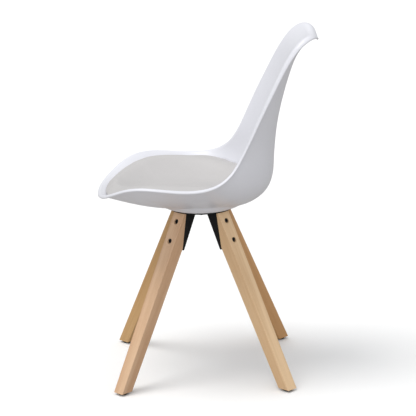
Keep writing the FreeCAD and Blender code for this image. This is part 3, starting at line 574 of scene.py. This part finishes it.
def shell_width(s):
    front = end_rounding(s, FRONT_ROUND, FRONT_SQUARENESS)
    return rails(s)[:, 2] * front * end_rounding(LAST - s, TOP_ROUND, TOP_SQUARENESS)


def station_at(x, y):
    """Stations where the outer face passes over the points (x, y), low down on the seat."""
    low, high = np.full(len(x), SEAT_FROM), np.full(len(x), SEAT_TO)
    for _ in range(HALVINGS):
        middle = (low + high) / 2
        short = mould(middle, x)[:, 1] < y
        low, high = np.where(short, middle, low), np.where(short, high, middle)
    return low


def smooth(t):
    t = np.clip(t, 0, 1)
    return t * t * (3 - 2 * t)


def face(s, x, offset):
    """Points so far inside the outer face, levelled near the hub to the flat floor, or to the hub beneath."""
    point = mould(s, x) + inward(s, x) * np.reshape(offset, (-1, 1))
    inside = np.broadcast_to(offset, len(s)) > 0
    level = np.where(inside, FLOOR_LEVEL + offset - WALL, 0)
    flat = np.where(inside, FLOOR_RADIUS, plate_radius) + FLAT_MARGIN
    fade = np.where(inside, FLOOR_FADE, HUB_SKIRT)
    away = (np.hypot(point[:, 0], point[:, 1]) - flat) / fade
    point[:, 2] += (level - point[:, 2]) * (1 - smooth(away))
    return point


def make_spokes(count, front, rear, width):
    """Spokes as four arrays: station and x at the hub circle, station and x at the outline."""
    turn = 2 * np.pi * np.arange(count) / count
    s1 = front + (rear - front) * (1 - np.cos(turn)) / 2
    x1 = width(s1) * np.where(turn <= np.pi, 1, -1)
    end = mould(s1, x1)
    reach = plate_radius / np.hypot(end[:, 0], end[:, 1])
    return station_at(end[:, 0] * reach, end[:, 1] * reach), end[:, 0] * reach, s1, x1


def along_spokes(spokes, v):
    s0, x0, s1, x1 = spokes
    return s0 + (s1 - s0) * v, x0 + (x1 - x0) * v


def floor_rings(spokes, offset, radii):
    """Rings on the seat's floor, at these radii from the hub's axis."""
    ends = mould(spokes[0], spokes[1])
    rings = []
    for radius in radii:
        x, y = ends[:, 0] * radius / plate_radius, ends[:, 1] * radius / plate_radius
        rings.append(face(station_at(x, y), x, offset))
    return rings


def mesh_from_rings(name, rings):
    """A closed mesh whose rings of points are joined by quads, with a point in the middle of each end."""
    count = len(rings[0])
    points = np.vstack([rings[0].mean(0)] + rings + [rings[-1].mean(0)]) + np.array(hub)
    last = len(points) - 1
    quads = []
    for row in range(len(rings) - 1):
        start = 1 + row * count
        for j in range(count):
            k = (j + 1) % count
            quads.append((start + j, start + k, start + count + k, start + count + j))
    top = [(0, 1 + (j + 1) % count, 1 + j) for j in range(count)]
    base = last - count
    bottom = [(last, base + j, base + (j + 1) % count) for j in range(count)]
    mesh = bpy.data.meshes.new(name)
    mesh.from_pydata(points.tolist(), [], quads + top + bottom)
    return face_outwards(mesh)


def face_outwards(mesh):
    work = bmesh.new()
    work.from_mesh(mesh)
    bmesh.ops.recalc_face_normals(work, faces=work.faces)
    work.to_mesh(mesh)
    work.free()
    mesh.shade_smooth()
    return mesh


def add_piece(name, mesh, material):
    piece = bpy.data.objects.new(name, mesh)
    mesh.materials.clear()
    mesh.materials.append(material)
    scene.collection.objects.link(piece)
    return piece


# %% [markdown]
# The rim isn't a cut edge. The wall turns over outwards, tightly along the seat and in a wide roll at the top
# of the back, which stiffens it and gives the hand something to hold. The roll's free end is rounded.

# %% Build the bucket
SHELL_SPOKES = 300
WALL_STEPS = 92
LIP_TURN = math.radians(100)
LIP_STEPS = 12
LIP_END_STEPS = 6
HUB_TOP_RINGS, HUB_UNDER_RINGS = 15, 4


def make_shell():
    """Rings from the middle of the seat up the inner face, round the lip and back down the outer face."""
    spokes = make_spokes(SHELL_SPOKES, 0.0, float(LAST), shell_width)
    shares = np.arange(WALL_STEPS + 1) / WALL_STEPS
    inner = [face(*along_spokes(spokes, v), WALL) for v in shares]
    outer = [face(*along_spokes(spokes, v), 0.0) for v in shares]
    edge, normal = outer[-1], inward(spokes[2], spokes[3])
    out = unit(np.cross(np.roll(edge, -1, 0) - np.roll(edge, 1, 0), normal))
    out *= np.sign(np.sum(out * (edge - outer[-2]), axis=1))[:, None]
    radius = rails(spokes[2])[:, 5:]

    def rolled(turn, thick):
        swing = out * math.sin(turn) - normal * (1 - math.cos(turn))
        return edge + normal * thick + swing * (radius + thick)

    turns = [LIP_TURN * i / LIP_STEPS for i in range(1, LIP_STEPS + 1)]
    roll_inner = [rolled(turn, WALL) for turn in turns]
    roll_outer = [rolled(turn, 0.0) for turn in turns[::-1]]
    onwards = unit(out * math.cos(LIP_TURN) - normal * math.sin(LIP_TURN))
    middle = (roll_inner[-1] + roll_outer[0]) / 2
    half = (roll_inner[-1] - roll_outer[0]) / 2
    end = [middle + half * math.cos(a) + onwards * (WALL / 2 * math.sin(a))
           for a in (math.pi * i / LIP_END_STEPS for i in range(1, LIP_END_STEPS))]
    floor_radii = np.linspace(CENTRE_RADIUS, plate_radius, HUB_TOP_RINGS)[:-1]
    under_radii = np.linspace(CENTRE_RADIUS, plate_radius, HUB_UNDER_RINGS)[:-1]
    floor = floor_rings(spokes, WALL, floor_radii)
    under = floor_rings(spokes, 0.0, under_radii)
    return floor + inner + roll_inner + end + roll_outer + outer[::-1] + under[::-1]


shell = add_piece("bucket_seat", mesh_from_rings("bucket_seat", make_shell()), shell_finish)
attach(shell, "root")
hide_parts("seat_shell")
print("bucket:", len(shell.data.polygons), "faces")

# %% [markdown]
# The pad follows the bucket: it has its own rounded outline on the same rails, a flat underside on the
# plastic, and a top that rises from the edge in an arc. Towards the back it thins out. Foam under a glued
# cover swells a little wherever nothing holds it, so the pad is drawn slightly thin and then puffed up by a
# cloth simulation with air pressure, with the underside held. A cap on the movement keeps it in its place,
# and a few smoothing passes even out the skin.

# %% The pad before it swells
PAD_FRONT, PAD_REAR = 0.18, 11.2
PAD_SHARE = 0.945
PAD_SQUARENESS = 2.3
PAD_ROUND = 0.9
PAD_HEIGHT = 26 * MM
PAD_EDGE_RADIUS = 24 * MM
PAD_REAR_TAPER = 2.4
PAD_UNDERSIDE = WALL + 0.4 * MM
PAD_SKIN = 1.1 * MM
PAD_SPOKES = 240
PAD_EDGE_SHARE = 0.28       # the share of each spoke that the rounded edge has closer rings on
PAD_MIDDLE_RINGS, PAD_CROWN_RINGS, PAD_EDGE_RINGS = 12, 16, 15


def pad_width(s):
    """Half the pad's width at stations s."""
    span = (PAD_REAR - PAD_FRONT) / 2 * PAD_ROUND
    near = end_rounding(s - PAD_FRONT, span, PAD_SQUARENESS)
    far = end_rounding(PAD_REAR - s, span, PAD_SQUARENESS)
    return rails(s)[:, 2] * PAD_SHARE * near * far


def make_pad():
    """Rings over the top and back under the pad, and the underside's own rings."""
    spokes = make_spokes(PAD_SPOKES, PAD_FRONT, PAD_REAR, pad_width)
    s0, x0, s1, x1 = spokes
    length = np.linalg.norm(mould(s1, x1) - mould(s0, x0), axis=1)
    rear = smooth((s1 - s0) / (PAD_REAR - s0)) * (s1 > s0)
    edge_radius = PAD_EDGE_RADIUS * (1 + PAD_REAR_TAPER * rear)
    arc = np.linspace(0, 1, PAD_EDGE_RINGS)[1:] ** 2
    crown_shares = np.linspace(0, 1 - PAD_EDGE_SHARE, PAD_CROWN_RINGS)
    shares = np.concatenate([crown_shares, 1 - PAD_EDGE_SHARE * (1 - arc)])
    top, under = [], []
    radii = np.linspace(CENTRE_RADIUS, plate_radius, PAD_MIDDLE_RINGS)[:-1]
    for v in shares:
        t = np.clip((1 - v) * length / edge_radius, 0, 1)
        rise = PAD_SKIN + PAD_HEIGHT * np.sqrt(1 - (1 - t) ** 2)
        top.append(face(*along_spokes(spokes, v), PAD_UNDERSIDE + rise))
        under.append(face(*along_spokes(spokes, v), PAD_UNDERSIDE))
    middle_top = floor_rings(spokes, PAD_UNDERSIDE + PAD_SKIN + PAD_HEIGHT, radii)
    middle_under = floor_rings(spokes, PAD_UNDERSIDE, radii)
    return middle_top + top, middle_under + under


pad_top, pad_under = make_pad()
pad_mesh = mesh_from_rings("seat_pad", pad_top + pad_under[::-1])
pad = add_piece("seat_pad", pad_mesh, leather_finish)
print("pad before swelling:", len(pad_mesh.polygons), "faces")

# %% Swell the pad
SWELL_FRAMES = 20
SWELL_PRESSURE = 4
SWELL_CAP = 5 * MM
PAD_VOXEL = 5 * MM
GLUE_REACH = 2.5 * MM
EVENING_PASSES = 14


def plain_copy(piece, name):
    """The piece's mesh with its modifiers applied."""
    evaluated = piece.evaluated_get(bpy.context.evaluated_depsgraph_get())
    mesh = bpy.data.meshes.new_from_object(evaluated)
    mesh.name = name
    return mesh


def points_of(mesh):
    flat = np.zeros(len(mesh.vertices) * 3)
    mesh.vertices.foreach_get("co", flat)
    return flat.reshape(-1, 3)


def hold_underside(piece, rings):
    """A vertex group of the points that lie on the underside, which the glue holds."""
    count = len(rings[0])
    points = (np.vstack(rings) + np.array(hub)).tolist()
    quads = []
    for row in range(0, (len(rings) - 1) * count, count):
        for j in range(count):
            k = (j + 1) % count
            quads.append((row + j, row + k, row + count + k, row + count + j))
    underside = BVHTree.FromPolygons(points, quads)
    held = [v.index for v in piece.data.vertices if underside.find_nearest(v.co)[3] < GLUE_REACH]
    piece.vertex_groups.new(name="held").add(held, 1.0, "REPLACE")
    return len(held)


def swell(piece, rings):
    """Puffs up a piece whose underside follows the rings: (points held, furthest that one wanted to move)."""
    remesh = piece.modifiers.new("remesh", "REMESH")
    remesh.mode = "VOXEL"
    remesh.voxel_size = PAD_VOXEL
    piece.data = plain_copy(piece, "seat_pad_remeshed")
    piece.modifiers.clear()
    held = hold_underside(piece, rings)
    before = points_of(piece.data)
    cloth = piece.modifiers.new("cloth", "CLOTH")
    cloth.settings.use_pressure = True
    cloth.settings.uniform_pressure_force = SWELL_PRESSURE
    cloth.settings.vertex_group_mass = "held"
    cloth.settings.effector_weights.gravity = 0
    cloth.point_cache.frame_end = SWELL_FRAMES
    for step in range(1, SWELL_FRAMES + 1):
        scene.frame_set(step)
    mesh = plain_copy(piece, "seat_pad")
    piece.modifiers.clear()
    scene.frame_set(1)
    move = points_of(mesh) - before
    far = np.maximum(np.linalg.norm(move, axis=1), 1e-9)
    capped = before + move * np.minimum(1, SWELL_CAP / far)[:, None]
    mesh.vertices.foreach_set("co", capped.ravel())
    piece.data = mesh
    return held, far.max()


held_count, furthest = swell(pad, pad_under)
print("pad held at", held_count, "points; it wanted to move", round(furthest * 1000, 1), "mm")
even = pad.modifiers.new("even", "SMOOTH")
even.iterations = EVENING_PASSES
even.vertex_group = "held"
even.invert_vertex_group = True
finer = pad.modifiers.new("finer", "SUBSURF")
finer.levels = finer.render_levels = 1
pad.data.shade_smooth()
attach(pad, "root")
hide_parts("cushion_cover", "cushion_foam")
print("pad:", len(pad.data.polygons), "faces before its last subdivision")

# %% [markdown]
# Eight blackened socket screws hold the legs, and four more hold the bucket. A screw repeats, so one Geometry
# Nodes tree makes a head with a chamfer, a knurled side and a hexagon socket, adds a shank, and sets a copy at
# every point it is given. Each point carries the way its screw points and its shank's length.

# %% Helper that starts a geometry tree
def geometry_tree(name, inputs):
    group = bpy.data.node_groups.new(name, "GeometryNodeTree")
    group.interface.new_socket("Geometry", in_out="INPUT", socket_type="NodeSocketGeometry")
    sockets = {}
    for label, (kind, default) in inputs.items():
        sockets[label] = add_input(group, label, kind, default).identifier
    group.interface.new_socket("Geometry", in_out="OUTPUT", socket_type="NodeSocketGeometry")
    tree = Tree(group)
    return group, tree, tree.add("NodeGroupInput").outputs, tree.add("NodeGroupOutput").inputs, sockets


def calculate(tree, operation, first, second, third=None):
    values = {0: first, 1: second}
    if third is not None:
        values[2] = third
    return tree.add("ShaderNodeMath", values, operation=operation).outputs[0]


# %% The socket screw tree
HEAD_FACETS, HEAD_RINGS, SHANK_FACETS = 144, 24, 32
HEXAGON = 6
ON_SIDE = 0.00001


def make_screw_tree():
    """The head is a cylinder that is reshaped point by point, from its own foot at Z = 0 to its top."""
    group, tree, given, result, sockets = geometry_tree("socket_screw", {
        "Head radius": ("Float", 0.005), "Head height": ("Float", 0.006), "Chamfer": ("Float", 0.0006),
        "Knurls": ("Float", 36.0), "Knurl depth": ("Float", 0.00012), "Socket radius": ("Float", 0.0029),
        "Shank radius": ("Float", 0.003), "Finish": ("Material", None)})
    head = tree.add("GeometryNodeMeshCylinder", {"Vertices": HEAD_FACETS, "Side Segments": HEAD_RINGS,
                                                 "Radius": 1.0, "Depth": 1.0})
    place = tree.add("GeometryNodeInputPosition").outputs[0]
    split = tree.add("ShaderNodeSeparateXYZ", {0: place})
    turn = calculate(tree, "ARCTAN2", split.outputs["Y"], split.outputs["X"])
    ridges = tree.add("ShaderNodeMath", {0: calculate(tree, "MULTIPLY", turn, given["Knurls"])},
                      operation="SINE")
    height = calculate(tree, "MULTIPLY_ADD", split.outputs["Z"], given["Head height"],
                       calculate(tree, "MULTIPLY", given["Head height"], 0.5))
    to_top = calculate(tree, "SUBTRACT", given["Head height"], height)
    near_top = calculate(tree, "MAXIMUM", calculate(tree, "SUBTRACT", given["Chamfer"], to_top), 0.0)
    plain_radius = calculate(tree, "SUBTRACT", given["Head radius"], near_top)
    on_side = calculate(tree, "COMPARE", near_top, 0.0, ON_SIDE)
    ridge = calculate(tree, "MULTIPLY", ridges.outputs[0], given["Knurl depth"])
    knurl = calculate(tree, "MULTIPLY", ridge, on_side)
    radius = calculate(tree, "ADD", plain_radius, knurl)
    moved = tree.add("ShaderNodeCombineXYZ", {
        "X": calculate(tree, "MULTIPLY", split.outputs["X"], radius),
        "Y": calculate(tree, "MULTIPLY", split.outputs["Y"], radius), "Z": height})
    shaped = tree.add("GeometryNodeSetPosition", {"Geometry": head.outputs["Mesh"],
                                                  "Position": moved.outputs[0]})
    key = tree.add("GeometryNodeMeshCylinder", {"Vertices": HEXAGON, "Radius": given["Socket radius"],
                                                "Depth": given["Head height"]})
    raise_key = tree.add("ShaderNodeCombineXYZ", {"Z": given["Head height"]})
    key_up = tree.add("GeometryNodeTransform", {"Geometry": key.outputs["Mesh"],
                                                "Translation": raise_key.outputs[0]})
    socketed = tree.add("GeometryNodeMeshBoolean", {0: shaped.outputs[0], 1: key_up.outputs[0]},
                        operation="DIFFERENCE")
    shank = tree.add("GeometryNodeMeshCylinder", {"Vertices": SHANK_FACETS, "Radius": given["Shank radius"],
                                                  "Depth": 1.0})
    shank_down = tree.add("GeometryNodeTransform", {"Geometry": shank.outputs["Mesh"],
                                                    "Translation": (0.0, 0.0, -0.5)})
    axis = tree.add("GeometryNodeInputNamedAttribute", {"Name": "axis"}, data_type="FLOAT_VECTOR")
    length = tree.add("GeometryNodeInputNamedAttribute", {"Name": "shank_length"}, data_type="FLOAT")
    facing = tree.add("FunctionNodeAlignRotationToVector", {"Vector": axis.outputs[0]}, axis="Z")
    stretch = tree.add("ShaderNodeCombineXYZ", {"X": 1.0, "Y": 1.0, "Z": length.outputs[0]})
    heads = tree.add("GeometryNodeInstanceOnPoints", {"Points": given["Geometry"],
                                                      "Instance": socketed.outputs[0],
                                                      "Rotation": facing.outputs[0]})
    shanks = tree.add("GeometryNodeInstanceOnPoints", {"Points": given["Geometry"],
                                                       "Instance": shank_down.outputs[0],
                                                       "Rotation": facing.outputs[0],
                                                       "Scale": stretch.outputs[0]})
    joined = tree.add("GeometryNodeJoinGeometry")
    tree.link(heads.outputs[0], joined.inputs[0])
    tree.link(shanks.outputs[0], joined.inputs[0])
    real = tree.add("GeometryNodeRealizeInstances", {0: joined.outputs[0]})
    finished = tree.add("GeometryNodeSetMaterial", {"Geometry": real.outputs[0],
                                                    "Material": given["Finish"]})
    tree.link(finished.outputs[0], result["Geometry"])
    return group, sockets


SCREW_TREE, SCREW_SOCKETS = make_screw_tree()


def make_screws(name, places, **sizes):
    """places are (point under the head, unit vector to the head, shank length)."""
    mesh = bpy.data.meshes.new(name + "_points")
    mesh.from_pydata([p for p, _, _ in places], [], [])
    mesh.attributes.new("axis", "FLOAT_VECTOR", "POINT")
    mesh.attributes.new("shank_length", "FLOAT", "POINT")
    for i, (_, way, shank) in enumerate(places):
        mesh.attributes["axis"].data[i].vector = way
        mesh.attributes["shank_length"].data[i].value = shank
    holder = bpy.data.objects.new(name + "_points", mesh)
    scene.collection.objects.link(holder)
    modifier = holder.modifiers.new("screws", "NODES")
    modifier.node_group = SCREW_TREE
    modifier[SCREW_SOCKETS["Finish"]] = black_oxide
    for label, value in sizes.items():
        modifier[SCREW_SOCKETS[label.replace("_", " ")]] = value
    made = plain_copy(holder, name)
    bpy.data.objects.remove(holder)
    for label in ("axis", "shank_length"):
        made.attributes.remove(made.attributes[label])
    return add_piece(name, made, black_oxide)


# %% [markdown]
# The washers stay from the frame, so each screw is placed by the washer under its head: the middle of its
# ring of points. A leg's bolts lean back by the same angle as the flat that the bracket bears on.

# %% Leg bolts and seat screws
BOLT_LEAN = math.radians(9.5)
WASHER_HALF = 0.6 * MM
PAST_NUT = 4 * MM       # the shank's length past the middle of its nut
SEAT_SCREW_CIRCLE = 48 * MM


def ring_centres(node, split_along):
    """The middles of a node's separate rings, told apart by where they lie along one direction."""
    points = points_of(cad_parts[node].data)
    where = points @ np.array(split_along)
    halfway = (where.min() + where.max()) / 2
    groups = points[where < halfway], points[where >= halfway]
    return [(group.min(0) + group.max(0)) / 2 for group in groups]


def leg_bolt_places():
    """A place for each leg bolt, from its washer to its nut."""
    places = []
    for corner, degrees in CORNER_ANGLES.items():
        angle = math.radians(degrees)
        way = np.array((math.cos(BOLT_LEAN) * math.cos(angle), math.cos(BOLT_LEAN) * math.sin(angle),
                        math.sin(BOLT_LEAN)))
        nuts = ring_centres("leg_nuts_" + corner, (0, 0, 1))
        for washer, nut in zip(ring_centres("leg_washers_" + corner, (0, 0, 1)), nuts):
            seat = washer + way * WASHER_HALF
            shank = float(np.dot(seat - nut, way)) + PAST_NUT
            places.append((seat.tolist(), way.tolist(), shank))
    return places


leg_bolts = make_screws("leg_bolt_set", leg_bolt_places())
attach(leg_bolts, "root")
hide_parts(*("leg_bolts_" + corner for corner in CORNER_ANGLES))

seat_screw_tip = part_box("seat_screws")[1].z
seat_washer_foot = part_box("seat_spring_washers")[0].z
seat_screw_places = []
for quarter in range(4):
    angle = math.radians(90 * quarter)
    at = (SEAT_SCREW_CIRCLE * math.cos(angle), hub.y + SEAT_SCREW_CIRCLE * math.sin(angle), seat_washer_foot)
    seat_screw_places.append((at, (0, 0, -1), seat_screw_tip - seat_washer_foot))
seat_screws = make_screws("seat_screw_set", seat_screw_places,
                          Head_radius=5.25 * MM, Head_height=4 * MM, Socket_radius=2.3 * MM)
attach(seat_screws, "root")
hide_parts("seat_screws")
print("screws:", len(leg_bolts.data.polygons), "and", len(seat_screws.data.polygons), "faces")

# %% [markdown]
# The floor's finish comes after the chair's. The camera sees it pale and a little dusty, while the light that
# it throws back is held down, so that the chair's underside stays in shade. Last, the frame's box is printed.
# The looks may not outgrow the design.

# %% Floor finish and sizes
FLOOR_CLEAN, FLOOR_DUST, FLOOR_BOUNCE = (0.97, 0.97, 0.97, 1), (0.955, 0.955, 0.955, 1), (0.45, 0.44, 0.43, 1)
floor_finish, floor_tree, floor_shader, floor_place = start_finish("pale_studio_floor", Roughness=0.9,
                                                                   Specular_IOR_Level=0.1)
floor_clouds = use_group(floor_tree, HANDLING, Place=floor_place, Patches_per_metre=0.8)
seen = floor_tree.add("ShaderNodeLightPath").outputs["Is Camera Ray"]
dusty = mix_colours(floor_tree, floor_clouds.outputs["Mask"], FLOOR_CLEAN, FLOOR_DUST)
blend_colour(floor_tree, floor_shader, seen, FLOOR_BOUNCE, dusty)
floor.data.materials.append(floor_finish)

print("frame box", [[round(v, 4) for v in corner] for corner in cad_box])
